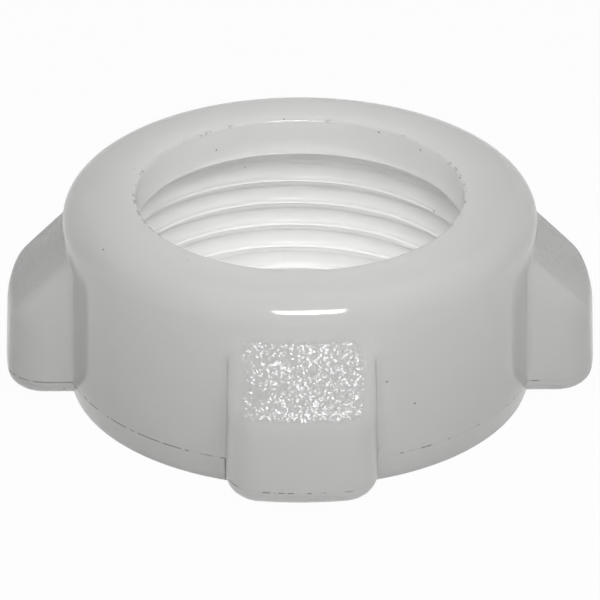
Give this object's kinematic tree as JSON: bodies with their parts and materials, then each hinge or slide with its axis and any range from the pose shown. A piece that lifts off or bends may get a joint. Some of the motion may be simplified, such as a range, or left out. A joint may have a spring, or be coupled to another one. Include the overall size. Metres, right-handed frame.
{
  "type": "hose nut",
  "caption": "Winged hose union nut: a short ring with a female pipe thread, an inward lip that clamps a hose tail's collar, and four wings for turning it by hand.",
  "frame": {"origin": "on the nut's axis, at the plane that its base ring stands on", "axes": "+Z along the axis, from the thread's entry to the lip; the wings point along +X, -X, +Y and -Y"},
  "size_m": [0.0516, 0.0516, 0.0178],
  "materials": {
    "natural_plastic": "satin moulded natural plastic, slightly translucent, with a fine spark texture on the wings' slopes"
  },
  "bodies": {
    "root": {"hose_nut": "natural_plastic"}
  },
  "joints": []
}
